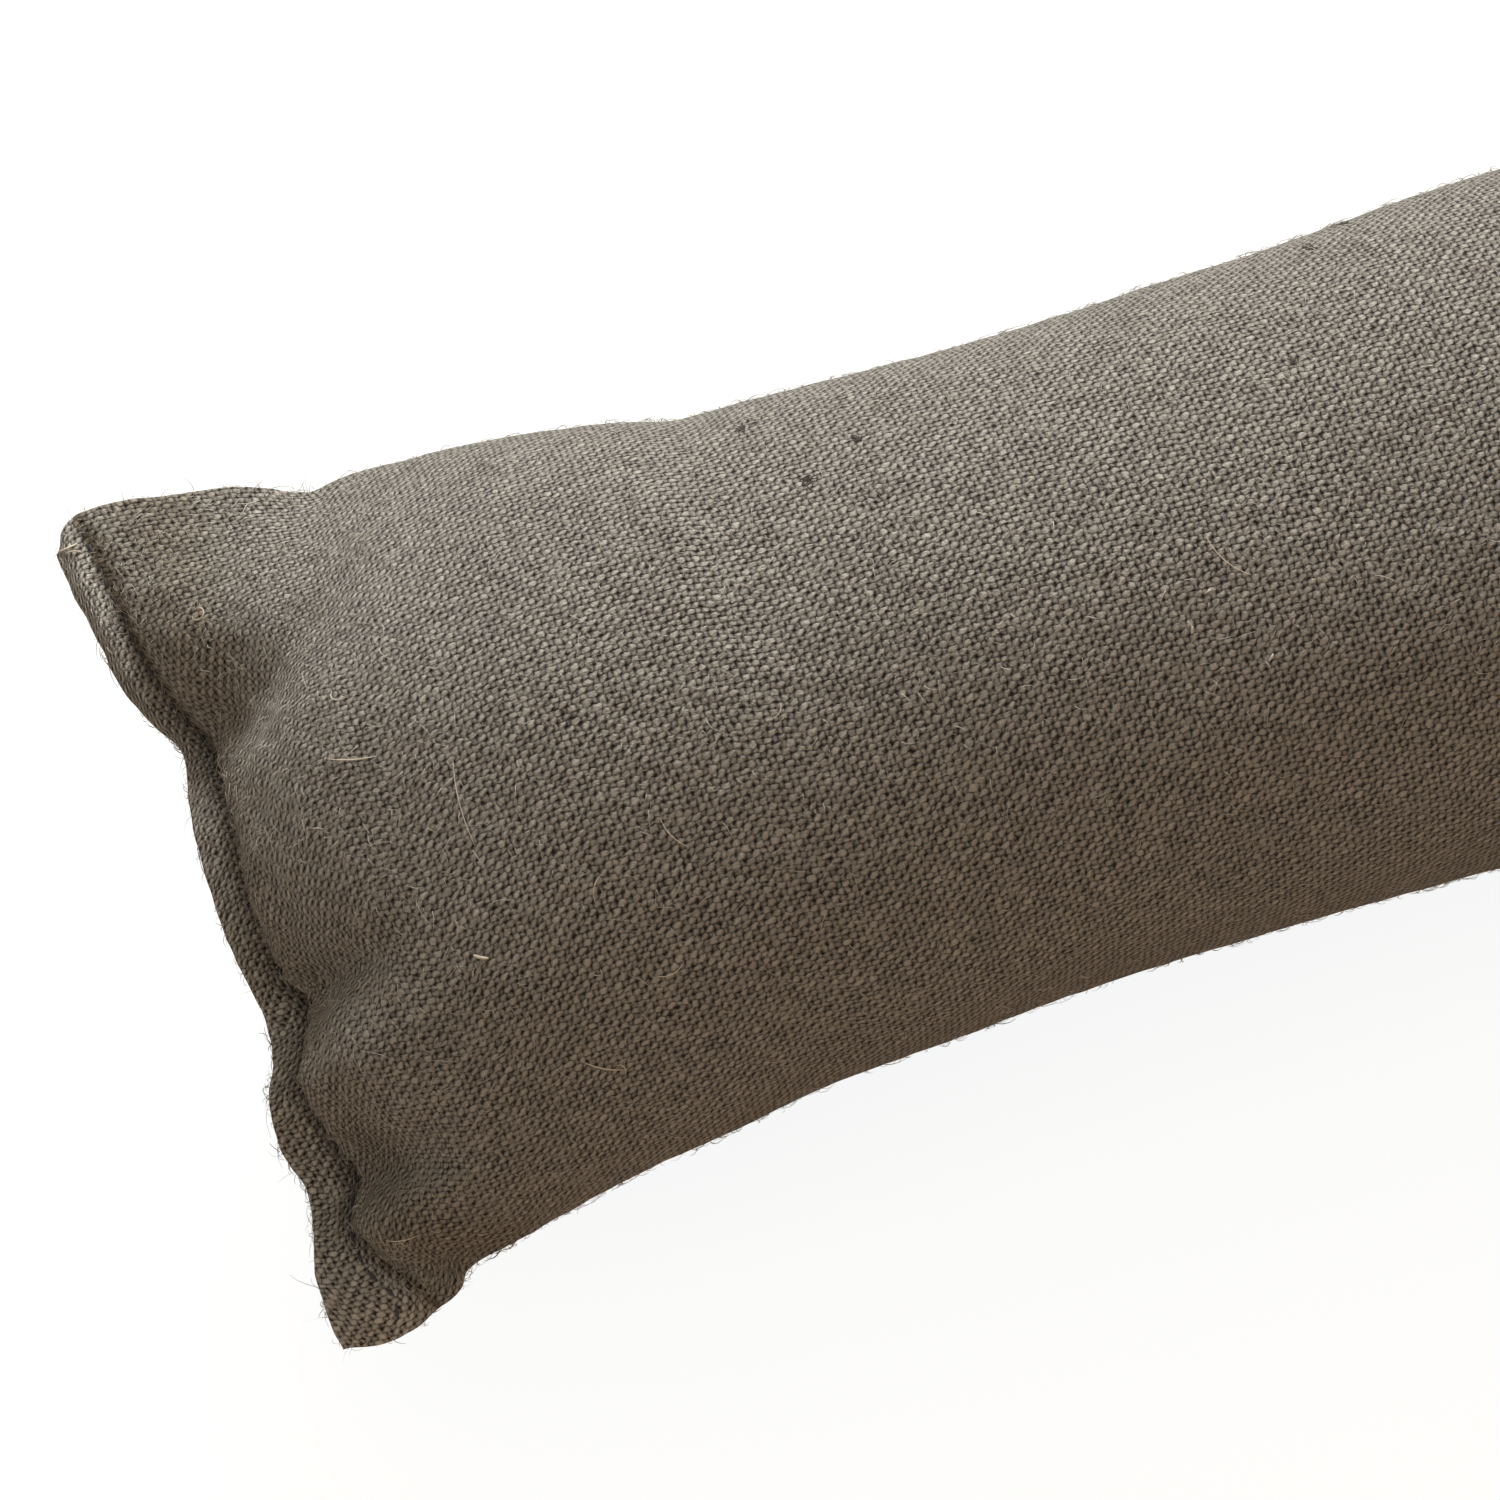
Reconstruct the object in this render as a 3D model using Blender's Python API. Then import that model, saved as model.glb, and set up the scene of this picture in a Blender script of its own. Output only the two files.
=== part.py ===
"""A draught excluder: a long stuffed tube of coarse cloth that lies along the foot of a door.

The cover is a flat tube of cloth, closed by a straight stitched seam across each end. The filling rounds it,
so each end seam is drawn in, puckers into tucks and leaves two pointed corners. Cloth and filling are one solid.
X runs along the tube, Y across it and Z up. The tube rests on z = 0 on a flat strip along its underside.
"""

import math

import bmesh
import bpy

MM = 0.001

# Driving dimensions in millimetres
LENGTH = 900.0
FLANGE_THICKNESS = 5.0
SEAM_THICKNESS = 1.8
PRESS_REACH = 4.0
FLANGE_CURL = 1.0
OVERHANG = 3.0
OVERHANG_RUN = 3.4
SEAM_INSET = 15.0
FLANGE_REACH = 9.0
SEAM_TO_SEAM = LENGTH - 2 * SEAM_INSET

# How far in from the seam its waves and its ups and downs still show
SEAM_FADE = 42.0
LEVEL_FADE = 30.0

# Shape numbers without a unit
TUCK_NARROWING = 0.45
TUCK_FLANK_POWER = 1.5
EAR_SHARPNESS = 0.4
FLAP_SQUARENESS = 8
PINCH_SHARPNESS = 8

# The rings of points: around each one, on the flanges, and along the body by distance from the end seam
POINTS_AROUND = 84
FLANGE_COLUMNS = ("share", "thickness")
FLANGE_ROWS = ((0.0, 3.0), (0.12, 5.0), (0.55, 4.8))
END_RUNS = (0, 1.5, 4, 7, 11, 16, 22, 29, 37, 46, 57, 70, 85, 103, 124, 148)
MIDDLE_STEP = 34.0

# Cross-sections along the tube. station: distance from the left end seam, below 0 or above the last seam on
# the flanges. far, near: where the sides lie. level: height of the widest line. rise, drop: how far the cloth
# stands above and below it. crown_far, crown_near: 0.5 rounds that side, 1 and more flattens it to an ear.
SECTION_COLUMNS = ("station", "far", "near", "level", "rise", "drop", "crown_far", "crown_near")
SECTIONS = (
    (-9.0, 84.5, -81.2, 58.0, 2.5, 2.5, 2.60, 0.62),
    (-6.0, 88.8, -82.6, 58.0, 2.5, 2.5, 2.60, 0.62),
    (-3.0, 90.6, -82.2, 58.0, 2.5, 2.5, 2.60, 0.62),
    (0.0, 91.4, -79.8, 58.0, 2.5, 2.5, 2.60, 0.62),
    (1.5, 91.5, -79.3, 58.0, 12.0, 9.0, 2.60, 0.60),
    (4.0, 91.6, -78.6, 58.0, 21.0, 16.0, 2.60, 0.58),
    (7.0, 91.3, -77.4, 58.0, 27.5, 22.0, 2.55, 0.57),
    (11.0, 90.6, -74.9, 58.0, 33.0, 28.0, 2.45, 0.57),
    (16.0, 89.4, -73.7, 58.0, 37.5, 33.0, 2.30, 0.57),
    (22.0, 87.8, -73.0, 58.0, 41.5, 38.0, 2.00, 0.58),
    (29.0, 85.4, -72.3, 58.0, 45.0, 42.5, 1.65, 0.59),
    (37.0, 83.4, -71.2, 58.0, 47.8, 47.0, 1.30, 0.60),
    (43.0, 82.2, -70.2, 58.0, 49.4, 50.0, 1.10, 0.60),
    (49.0, 81.3, -69.3, 58.0, 50.6, 53.0, 0.95, 0.59),
    (62.0, 80.1, -67.6, 58.0, 52.8, 57.5, 0.76, 0.57),
    (74.0, 78.1, -66.6, 57.9, 54.6, 60.0, 0.66, 0.55),
    (98.0, 72.9, -63.8, 57.8, 57.4, 62.0, 0.56, 0.52),
    (110.0, 68.9, -63.4, 57.7, 58.4, 62.2, 0.53, 0.50),
    (122.0, 67.9, -63.1, 57.6, 59.2, 62.2, 0.51, 0.50),
    (148.0, 66.7, -62.5, 57.5, 60.6, 62.2, 0.50, 0.50),
    (196.0, 64.4, -64.2, 57.4, 61.2, 62.2, 0.50, 0.50),
    (222.0, 64.7, -66.2, 57.5, 61.3, 62.3, 0.50, 0.50),
    (250.0, 64.8, -67.6, 57.6, 61.4, 62.4, 0.50, 0.50),
    (310.0, 64.0, -68.0, 57.8, 61.0, 62.6, 0.50, 0.50),
    (370.0, 61.4, -67.8, 57.5, 60.2, 62.2, 0.50, 0.50),
    (430.0, 61.8, -66.0, 57.2, 60.0, 61.8, 0.50, 0.50),
    (490.0, 63.8, -64.4, 57.4, 60.8, 62.0, 0.50, 0.50),
    (550.0, 65.6, -64.0, 57.7, 61.4, 62.4, 0.50, 0.50),
    (610.0, 66.8, -63.2, 57.6, 61.0, 62.4, 0.50, 0.50),
    (670.0, 65.4, -63.0, 57.4, 60.4, 62.2, 0.50, 0.50),
    (722.0, 64.0, -64.6, 57.5, 60.2, 62.2, 0.50, 0.50),
    (748.0, 64.2, -67.0, 57.6, 59.0, 62.2, 0.50, 0.51),
    (772.0, 65.0, -70.6, 57.8, 57.0, 62.0, 0.52, 0.56),
    (796.0, 67.0, -75.8, 57.9, 54.4, 60.0, 0.55, 0.66),
    (808.0, 68.4, -78.0, 58.0, 52.6, 57.5, 0.57, 0.76),
    (821.0, 70.2, -79.8, 58.0, 50.2, 53.0, 0.59, 0.95),
    (827.0, 71.0, -81.2, 58.0, 49.0, 50.0, 0.60, 1.10),
    (833.0, 72.0, -82.8, 58.0, 47.4, 47.0, 0.60, 1.30),
    (841.0, 73.4, -85.2, 58.0, 44.6, 42.5, 0.59, 1.65),
    (848.0, 74.6, -87.6, 58.0, 41.0, 38.0, 0.58, 2.00),
    (854.0, 75.8, -89.4, 58.0, 37.0, 33.0, 0.57, 2.30),
    (859.0, 77.4, -90.6, 58.0, 32.5, 28.0, 0.57, 2.45),
    (863.0, 79.6, -91.3, 58.0, 27.0, 22.0, 0.57, 2.55),
    (866.0, 81.0, -91.6, 58.0, 20.5, 16.0, 0.58, 2.60),
    (868.5, 82.0, -91.5, 58.0, 11.5, 9.0, 0.60, 2.60),
    (870.0, 82.6, -91.2, 58.0, 2.5, 2.5, 0.62, 2.60),
    (873.0, 84.6, -90.4, 58.0, 2.5, 2.5, 0.62, 2.60),
    (876.0, 84.8, -88.8, 58.0, 2.5, 2.5, 0.62, 2.60),
    (879.0, 83.2, -85.0, 58.0, 2.5, 2.5, 0.62, 2.60),
)

# Short creases where a side is pinched in. station: where. width, depth: how wide and deep. side: 1 far, -1 near.
PINCH_COLUMNS = ("station", "width", "depth", "side")
PINCHES = ((36.0, 6.0, 2.8, 1), (834.0, 6.0, 2.8, -1))

# The end seams. across: place along the seam, from the near corner to the far one.
# valley: how far in the stitched line lies. edge: how far in the flange's free edge lies. lift: up or down.
SEAM_COLUMNS = ("across", "valley", "edge", "lift")
LEFT_SEAM = (
    (-82.0, 26.5, 6.8, 2.0),
    (-76.0, 24.5, 6.2, 3.5),
    (-67.0, 18.6, 6.0, 2.0),
    (-59.0, 16.0, 7.6, -1.0),
    (-50.5, 18.8, 8.6, -4.0),
    (-42.0, 16.8, 6.6, -1.0),
    (-33.0, 15.2, 7.4, 2.5),
    (-25.0, 18.4, 10.4, 0.5),
    (-17.0, 21.0, 10.9, -4.0),
    (-10.0, 17.4, 10.3, -1.0),
    (4.0, 17.2, 9.0, 2.0),
    (20.0, 18.0, 9.2, 1.5),
    (31.0, 17.6, 10.2, -2.0),
    (39.0, 17.0, 11.0, -6.0),
    (47.0, 13.6, 7.0, -4.0),
    (56.0, 11.0, 3.8, -0.5),
    (66.0, 9.4, 2.5, 1.0),
    (76.0, 8.0, 0.8, 1.6),
    (84.0, 7.0, 0.0, 1.3),
    (90.0, 6.2, 0.0, 1.0),
)
RIGHT_SEAM = (
    (-90.0, 7.0, 0.0, 0.0),
    (-76.0, 8.4, 0.0, 2.0),
    (-60.0, 12.0, 4.8, -1.0),
    (-48.0, 17.0, 10.0, -5.0),
    (-36.0, 14.8, 8.4, 0.0),
    (-22.0, 14.0, 7.6, 2.0),
    (-8.0, 15.4, 9.0, 0.0),
    (2.0, 18.0, 11.0, -4.0),
    (12.0, 15.0, 8.8, 0.0),
    (26.0, 14.2, 7.8, 2.0),
    (38.0, 15.6, 8.8, 0.0),
    (48.0, 17.8, 10.2, -4.0),
    (58.0, 14.2, 6.8, 0.0),
    (70.0, 16.8, 6.0, 2.0),
    (84.0, 21.0, 5.8, 0.0),
)

# Tucks that run in from an end seam. start, stop: across the tube at the seam and at the tuck's far end.
# reach: how far in it runs. depth: at the seam. far_width, near_width: how wide its two flanks are there.
# side: 1 on the upper face, -1 on the lower one.
TUCK_COLUMNS = ("start", "stop", "reach", "depth", "far_width", "near_width", "side")
LEFT_TUCKS = (
    (38.5, 51.0, 44.0, 16.0, 13.0, 17.0, 1),
    (48.0, 58.0, 50.0, 14.0, 34.0, 30.0, 1),
    (-14.5, -18.0, 30.0, 12.0, 13.0, 7.0, 1),
    (-51.5, -58.0, 32.0, 14.0, 12.0, 7.0, 1),
    (-72.0, -77.0, 30.0, 14.0, 6.0, 16.0, 1),
    (36.0, 44.0, 34.0, 11.0, 14.0, 11.0, -1),
    (-14.0, -18.0, 30.0, 8.0, 11.0, 11.0, -1),
    (-50.0, -55.0, 32.0, 9.0, 11.0, 11.0, -1),
)
RIGHT_TUCKS = (
    (-48.0, -57.0, 40.0, 14.0, 15.0, 13.0, 1),
    (-54.0, -62.0, 46.0, 13.0, 30.0, 34.0, 1),
    (2.0, 5.0, 30.0, 8.0, 9.0, 12.0, 1),
    (48.0, 56.0, 30.0, 9.0, 9.0, 12.0, 1),
    (74.0, 78.0, 28.0, 12.0, 16.0, 6.0, 1),
    (-46.0, -52.0, 34.0, 10.0, 12.0, 12.0, -1),
    (0.0, -4.0, 30.0, 8.0, 12.0, 12.0, -1),
    (47.0, 52.0, 30.0, 8.0, 12.0, 12.0, -1),
)


def clear_scene():
    for obj in list(bpy.data.objects):
        bpy.data.objects.remove(obj, do_unlink=True)


def named_rows(columns, rows):
    return [dict(zip(columns, row)) for row in rows]


def smoothstep(value):
    value = min(max(value, 0.0), 1.0)
    return value * value * (3 - 2 * value)


def fade(distance, reach):
    """1 at the seam, 0 past the reach."""
    return 1 - smoothstep(distance / reach)


def smooth_read(rows, key, column, place):
    """Reads a column at a place between its rows, on a curve that never overshoots them."""
    if place <= rows[0][key]:
        return rows[0][column]
    if place >= rows[-1][key]:
        return rows[-1][column]
    last = next(i for i, row in enumerate(rows) if row[key] >= place)
    first = last - 1
    width = rows[last][key] - rows[first][key]

    def rate(index):
        low, high = index - 1, index + 1
        if low < 0 or high >= len(rows):
            return 0.0
        before = (rows[index][column] - rows[low][column]) / (rows[index][key] - rows[low][key])
        after = (rows[high][column] - rows[index][column]) / (rows[high][key] - rows[index][key])
        return 0.0 if before * after <= 0 else 2 * before * after / (before + after)

    share = (place - rows[first][key]) / width
    start, end = rows[first][column], rows[last][column]
    ease = smoothstep(share)
    out = share * (1 - share) ** 2 * rate(first) * width
    back = share**2 * (1 - share) * rate(last) * width
    return start + (end - start) * ease + out - back


def tuck_depth(tucks, run, across, side):
    """How far the tucks of one end draw the cloth in, at a distance from the seam and a place across."""
    depth = 0.0
    for tuck in tucks:
        if tuck["side"] != side or run > tuck["reach"]:
            continue
        line = tuck["start"] + (tuck["stop"] - tuck["start"]) * run / tuck["reach"]
        offset = across - line
        width = tuck["far_width"] if offset > 0 else tuck["near_width"]
        width *= 1 - TUCK_NARROWING * run / tuck["reach"]
        flank = math.exp(-2 * abs(offset / width) ** TUCK_FLANK_POWER)
        depth += tuck["depth"] * flank * fade(run, tuck["reach"])
    return depth


class End:
    """One end of the tube: the left one faces -X, the right one +X."""

    def __init__(self, seam, tucks, facing):
        self.seam = named_rows(SEAM_COLUMNS, seam)
        self.tucks = named_rows(TUCK_COLUMNS, tucks)
        self.facing = facing

    def seam_value(self, column, across):
        return smooth_read(self.seam, "across", column, across)

    def x_of(self, inset):
        return self.facing * (LENGTH / 2 - inset)

    def x_of_run(self, run, across):
        wave = self.seam_value("valley", across) - SEAM_INSET
        return self.x_of(SEAM_INSET + run + wave * fade(run, SEAM_FADE))

    def flange_x(self, share, across):
        valley = self.seam_value("valley", across)
        edge = self.seam_value("edge", across)
        return self.x_of(edge + (valley - edge) * share)

    def lift(self, run, across):
        return self.seam_value("lift", across) * fade(run, LEVEL_FADE)


LEFT = End(LEFT_SEAM, LEFT_TUCKS, -1)
RIGHT = End(RIGHT_SEAM, RIGHT_TUCKS, 1)
SECTION_ROWS = named_rows(SECTION_COLUMNS, SECTIONS)


def section_at(station):
    section = {name: smooth_read(SECTION_ROWS, "station", name, station) for name in SECTION_COLUMNS[1:]}
    return {"station": station, **section}


def share_across(angle):
    """From -1 at the near side to 1 at the far side, and whether the point is above (1) or below (-1)."""
    return math.cos(angle), 1 if math.sin(angle) >= 0 else -1


def pinch_depth(station, share):
    """How far the creases in the sides draw them in, felt only close to the side."""
    depth = 0.0
    for pinch in named_rows(PINCH_COLUMNS, PINCHES):
        near_side = max(0.0, share * pinch["side"]) ** PINCH_SHARPNESS
        dip = math.exp(-(((station - pinch["station"]) / pinch["width"]) ** 2))
        depth += pinch["side"] * pinch["depth"] * near_side * dip
    return depth


def across_of(section, share):
    straight = section["near"] + (section["far"] - section["near"]) * (share + 1) / 2
    return straight - pinch_depth(section["station"], share)


def flap_thickness(run):
    """The flat cloth's thickness: pressed thin by the stitches, full away from them."""
    return FLANGE_THICKNESS - (FLANGE_THICKNESS - SEAM_THICKNESS) * fade(run, PRESS_REACH)


def flap_height(thickness, share):
    """Half the thickness of flat cloth, rounded off at its two sides."""
    return thickness / 2 * math.sqrt(max(0.0, 1 - share**FLAP_SQUARENESS))


def filled_height(section, share, side):
    """How far the filling lifts the cloth off the flat flap: most in the middle, nothing at the sides."""
    crown = section["crown_far"] if share > 0 else section["crown_near"]
    power = 2 + EAR_SHARPNESS * (crown - 0.5)
    reach = section["rise"] if side > 0 else section["drop"]
    return (reach - FLANGE_THICKNESS / 2) * max(0.0, 1 - abs(share) ** power) ** crown


def body_point(station, angle):
    """A point of the stuffed body, given the distance from the left seam and the angle around the section."""
    end, run = (LEFT, station) if station < SEAM_TO_SEAM / 2 else (RIGHT, SEAM_TO_SEAM - station)
    section = section_at(station)
    share, side = share_across(angle)
    across = across_of(section, share)
    filled = filled_height(section, share, side)
    if filled > 0:
        filled *= filled / (filled + tuck_depth(end.tucks, run, across, side))
    level = section["level"] + end.lift(run, across)
    height = flap_height(flap_thickness(run), share) + filled
    lean = OVERHANG * filled / (filled + 6.0) * math.exp(-(((run - OVERHANG_RUN) / OVERHANG_RUN) ** 2))
    return end.x_of_run(run, across) + end.facing * lean, across, max(0.0, level + side * height)


def flange_point(end, row, angle):
    """A point of the flat stitched flange. The row's share is 0 at the free edge and 1 at the seam."""
    outwards = FLANGE_REACH * (1 - row["share"])
    section = section_at(-outwards if end is LEFT else SEAM_TO_SEAM + outwards)
    share, side = share_across(angle)
    across = across_of(section, share)
    level = section["level"] + end.lift(0.0, across) + FLANGE_CURL * (1 - row["share"]) ** 2
    return end.flange_x(row["share"], across), across, level + side * flap_height(row["thickness"], share)


def body_stations():
    left = list(END_RUNS)
    right = [SEAM_TO_SEAM - run for run in reversed(END_RUNS)]
    count = round((right[0] - left[-1]) / MIDDLE_STEP)
    step = (right[0] - left[-1]) / count
    return left + [left[-1] + step * i for i in range(1, count)] + right


def cover_rings():
    """All rings of points, from the left flange's free edge to the right one's."""
    angles = [2 * math.pi * i / POINTS_AROUND for i in range(POINTS_AROUND)]
    flange_rows = named_rows(FLANGE_COLUMNS, FLANGE_ROWS)
    left = [[flange_point(LEFT, row, angle) for angle in angles] for row in flange_rows]
    body = [[body_point(station, angle) for angle in angles] for station in body_stations()]
    right = [[flange_point(RIGHT, row, angle) for angle in angles] for row in reversed(flange_rows)]
    return left + body + right


def close_edge(mesh, ring):
    """Joins the upper and lower points along the free edge of a flange."""
    count = len(ring)
    for i in range(count // 2):
        corners = [ring[i], ring[i + 1], ring[(count - i - 1) % count], ring[(count - i) % count]]
        mesh.faces.new(list(dict.fromkeys(corners)))


def make_cover(collection):
    """The stuffed cover, lofted through its rings and closed along both free edges."""
    mesh = bmesh.new()
    rings = [[mesh.verts.new([value * MM for value in point]) for point in ring] for ring in cover_rings()]
    for first, second in zip(rings, rings[1:]):
        for i in range(POINTS_AROUND):
            j = (i + 1) % POINTS_AROUND
            mesh.faces.new((first[i], second[i], second[j], first[j]))
    close_edge(mesh, rings[0])
    close_edge(mesh, rings[-1])
    bmesh.ops.recalc_face_normals(mesh, faces=mesh.faces)
    data = bpy.data.meshes.new("cover")
    mesh.to_mesh(data)
    mesh.free()
    data.shade_smooth()
    cover = bpy.data.objects.new("cover", data)
    collection.objects.link(cover)
    return cover


def make_cloth_material():
    material = bpy.data.materials.new("coarse_grey_brown_cloth")
    material.use_nodes = True
    shader = material.node_tree.nodes["Principled BSDF"]
    shader.inputs["Base Color"].default_value = (0.205, 0.178, 0.150, 1.0)
    shader.inputs["Roughness"].default_value = 0.95
    shader.inputs["Metallic"].default_value = 0.0
    return material


def build():
    clear_scene()
    collection = bpy.data.collections.new("draught_excluder")
    bpy.context.scene.collection.children.link(collection)
    cover = make_cover(collection)
    cover.data.materials.append(make_cloth_material())


build()
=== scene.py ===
"""A draught excluder: a stuffed tube of coarse grey-brown cloth, with a flat stitched seam across each end.

The cover is lofted through fine rings on the same forms as the part's own solid, with its weave, stitches, loose
fibres and fuzz added. X runs along the tube, Y across it and Z up, in metres.
"""

import math

import bpy
import numpy as np
from mathutils import Matrix, Vector, noise
from mathutils.bvhtree import BVHTree


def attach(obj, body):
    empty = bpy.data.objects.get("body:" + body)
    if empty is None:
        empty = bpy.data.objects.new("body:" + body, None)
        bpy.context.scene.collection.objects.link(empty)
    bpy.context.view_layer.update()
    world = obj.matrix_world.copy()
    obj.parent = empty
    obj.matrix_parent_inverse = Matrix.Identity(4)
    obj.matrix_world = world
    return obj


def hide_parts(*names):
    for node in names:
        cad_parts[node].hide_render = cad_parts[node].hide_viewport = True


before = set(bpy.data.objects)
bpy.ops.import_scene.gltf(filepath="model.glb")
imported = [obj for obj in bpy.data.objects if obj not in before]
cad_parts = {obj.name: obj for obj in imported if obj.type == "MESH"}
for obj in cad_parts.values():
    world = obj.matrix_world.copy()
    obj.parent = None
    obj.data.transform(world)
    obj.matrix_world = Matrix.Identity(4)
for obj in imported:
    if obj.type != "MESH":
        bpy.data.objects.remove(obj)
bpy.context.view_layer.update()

MM = 0.001

# Driving dimensions in millimetres, as in the part's solid
LENGTH = 900.0
FLANGE_THICKNESS = 5.0
SEAM_THICKNESS = 1.8
PRESS_REACH = 4.0
FLANGE_CURL = 1.0
OVERHANG = 3.0
OVERHANG_RUN = 3.4
OVERHANG_HALF_HEIGHT = 6.0
SEAM_INSET = 15.0
FLANGE_REACH = 9.0
SEAM_TO_SEAM = LENGTH - 2 * SEAM_INSET
SEAM_FADE = 42.0
LEVEL_FADE = 30.0
TUCK_NARROWING = 0.45
TUCK_FLANK_POWER = 1.5
EAR_SHARPNESS = 0.4
FLAP_SQUARENESS = 8
PINCH_SHARPNESS = 8

# Fine form in millimetres: the flange's rounded edge, the groove under its stitches, and the cloth's unevenness
EDGE_ROLL = 2.4
EDGE_THINNEST = 0.35
GROOVE_WIDTH = 1.3
GROOVE_DEPTH = 1.0
LUMP_HEIGHT = 0.45
RIPPLE_HEIGHT = 0.40
GRAIN_HEIGHT = 0.09
# The width of the painted shade in each seam's crease, and how much painted light makes the flanges paler
CREASE_WIDTH = 1.4
FLANGE_PAINTED_LIGHT = 0.70

# The unevenness as sums of waves: shortest and longest wave in millimetres, how many of them, and the seed
LUMP_WAVES = ((34.0, 90.0), 26, 5)
RIPPLE_WAVES = ((7.0, 15.0), 18, 8)
GRAIN_WAVES = ((3.2, 7.5), 30, 13)
RIPPLE_STRETCH = (0.45, 1.0, 1.0)

# Where the unevenness comes in: away from the floor, and at distances from a seam
FLOOR_GAP = 1.0
FLOOR_FADE = 16.0
LUMPS_START = 3.0
LUMPS_FADE = 30.0
RIPPLES_RISE = 2.5
RIPPLES_STOP = 4.0
RIPPLES_FADE = 22.0

# The band of painted shade behind each seam, tinted brown: how far behind it lies, how far it spreads, and how dark
# it is
SHADED_BAND_CENTRE = 14.0
SHADED_BAND_SPREAD = 10.0
SHADED_BAND_DARKNESS = 0.50

# The weave: millimetres between yarns along the tube, and how many yarns cross half of the girth
YARN_PITCH = 1.353
YARNS_PER_HALF = 165
YARNS_ALONG = 643

# The top-stitches in millimetres. across runs as on the left end; back: how far outside the valley they lie.
STITCH_LENGTH = 3.1
STITCH_GAP = 0.7
STITCH_RADIUS = 0.34
STITCH_VARIETY = (0.9, 1.1)
STITCH_DRIFT = 0.25
STITCH_STEPS = 7
STITCH_SIDES = 6
STITCH_RISE = 1.5
STITCH_SINK = 1.1
STITCH_LIMITS = (-79.5, 87.0)
STITCH_COLUMNS = ("across", "back")
STITCHES = ((-80.0, 7.6), (-75.0, 5.0), (-69.0, 4.0), (-60.0, 1.6), (-50.0, 0.7), (60.0, 0.7), (86.0, 0.4))

# The fuzz's fibres in millimetres: lengths and radii from gamma curves, how they curl, and how unevenly they stand
FUZZ_STEPS = 4
FUZZ_SIDES = 3
FUZZ_LENGTH_CURVE = (2.0, 0.75)
FUZZ_SHORTEST = 0.5
FUZZ_LONGEST_STAND = 1.6
FUZZ_RADIUS_CURVE = (1.3, 0.026)
FUZZ_THINNEST = 0.038
FUZZ_THICKEST = 0.12
FUZZ_TAPER = 0.6
FUZZ_CURL = 0.55
FUZZ_CLUMP = 5.0
FUZZ_CLUMPING = 2.2
FUZZ_LOWEST = 5.0

# The fuzz, in strips between two distances from the left end. stand: how far its longer fibres stand off the cloth.
FUZZ_COLUMNS = ("name", "first", "last", "count", "stand", "seed")
FUZZ = (
    ("fuzz_left", -5.0, 310.0, 9000, 0.8, 34),
    ("fuzz_middle", 310.0, 590.0, 9000, 0.8, 35),
    ("fuzz_right", 590.0, 905.0, 9000, 0.8, 36),
    ("fuzz_left_end", -5.0, 62.0, 5400, 1.1, 37),
    ("fuzz_right_end", 838.0, 905.0, 4400, 1.1, 38),
)

# Long loose fibres and bits on the cloth. inset: from the left end. heading: degrees from +X towards +Y.
# bend: degrees that it turns along its length. stand: how high its middle stands off the cloth.
FIBRE_STEPS = 14
FIBRE_SIDES = 5
FIBRE_COLUMNS = ("inset", "across", "heading", "length", "bend", "stand", "thickness")
FIBRES = (
    (24.0, 61.0, 60.0, 6.5, 290.0, 0.9, 0.24),
    (45.5, 17.5, -19.0, 9.5, 30.0, 0.9, 0.26),
    (46.0, 30.0, -40.0, 4.0, 190.0, 0.7, 0.22),
    (62.0, 2.3, -93.0, 16.0, 22.0, 0.8, 0.18),
    (56.5, -24.5, -30.0, 2.8, 30.0, 0.3, 0.65),
    (71.0, -49.5, -26.0, 7.6, 34.0, 0.7, 0.26),
    (74.0, -50.6, 120.0, 3.0, 150.0, 0.7, 0.22),
    (205.0, -2.0, -58.0, 11.0, 60.0, 0.7, 0.18),
    (195.0, -12.0, 70.0, 1.4, 20.0, 0.2, 0.50),
    (200.0, -6.5, 20.0, 1.2, 20.0, 0.2, 0.42),
    (207.0, -21.0, 40.0, 1.5, 20.0, 0.2, 0.48),
    (88.0, -38.0, 10.0, 6.0, 80.0, 0.6, 0.16),
    (96.0, -16.0, -60.0, 7.0, 50.0, 0.6, 0.16),
    (120.0, -2.0, 30.0, 5.0, 120.0, 0.6, 0.16),
    (2.6, 84.6, 8.0, 4.0, 40.0, 0.3, 0.45),
    (3.4, 83.4, -12.0, 3.4, -50.0, 0.3, 0.30),
    (38.0, 33.0, 15.0, 5.0, 100.0, 0.6, 0.16),
    (33.0, -20.0, 80.0, 3.0, 200.0, 0.9, 0.20),
    (34.5, -21.0, 10.0, 3.4, -160.0, 0.9, 0.18),
    (25.0, -66.0, -8.0, 6.5, 40.0, 0.9, 0.20),
    (80.0, -20.0, 55.0, 5.5, -70.0, 0.6, 0.16),
)

# Small dark tangles caught in the cloth. inset: from the left end. size: across the tangle.
TANGLE_FIBRES = 16
TANGLE_STEPS = 5
TANGLE_SIDES = 4
TANGLE_COLUMNS = ("inset", "across", "size")
TANGLES = (
    (133.3, 56.0, 1.5),
    (140.5, 38.4, 2.2),
    (152.0, 44.0, 1.2),
    (248.0, 55.0, 1.8),
    (259.0, 60.0, 1.6),
    (231.0, 30.0, 1.2),
    (480.0, 20.0, 1.8),
    (655.0, -15.0, 1.6),
    (790.0, 34.0, 1.5),
)

# The rings of points. Each band starts at a distance from the left seam and has its own step.
POINTS_AROUND = 320
FLANGE_RINGS = 16
FLANGE_RING_POWER = 1.3
BAND_COLUMNS = ("start", "step")
BANDS = ((0.0, 0.9), (50.0, 1.7), (110.0, 3.2), (330.0, 6.5), (760.0, 3.2), (825.0, 1.6))

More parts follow.
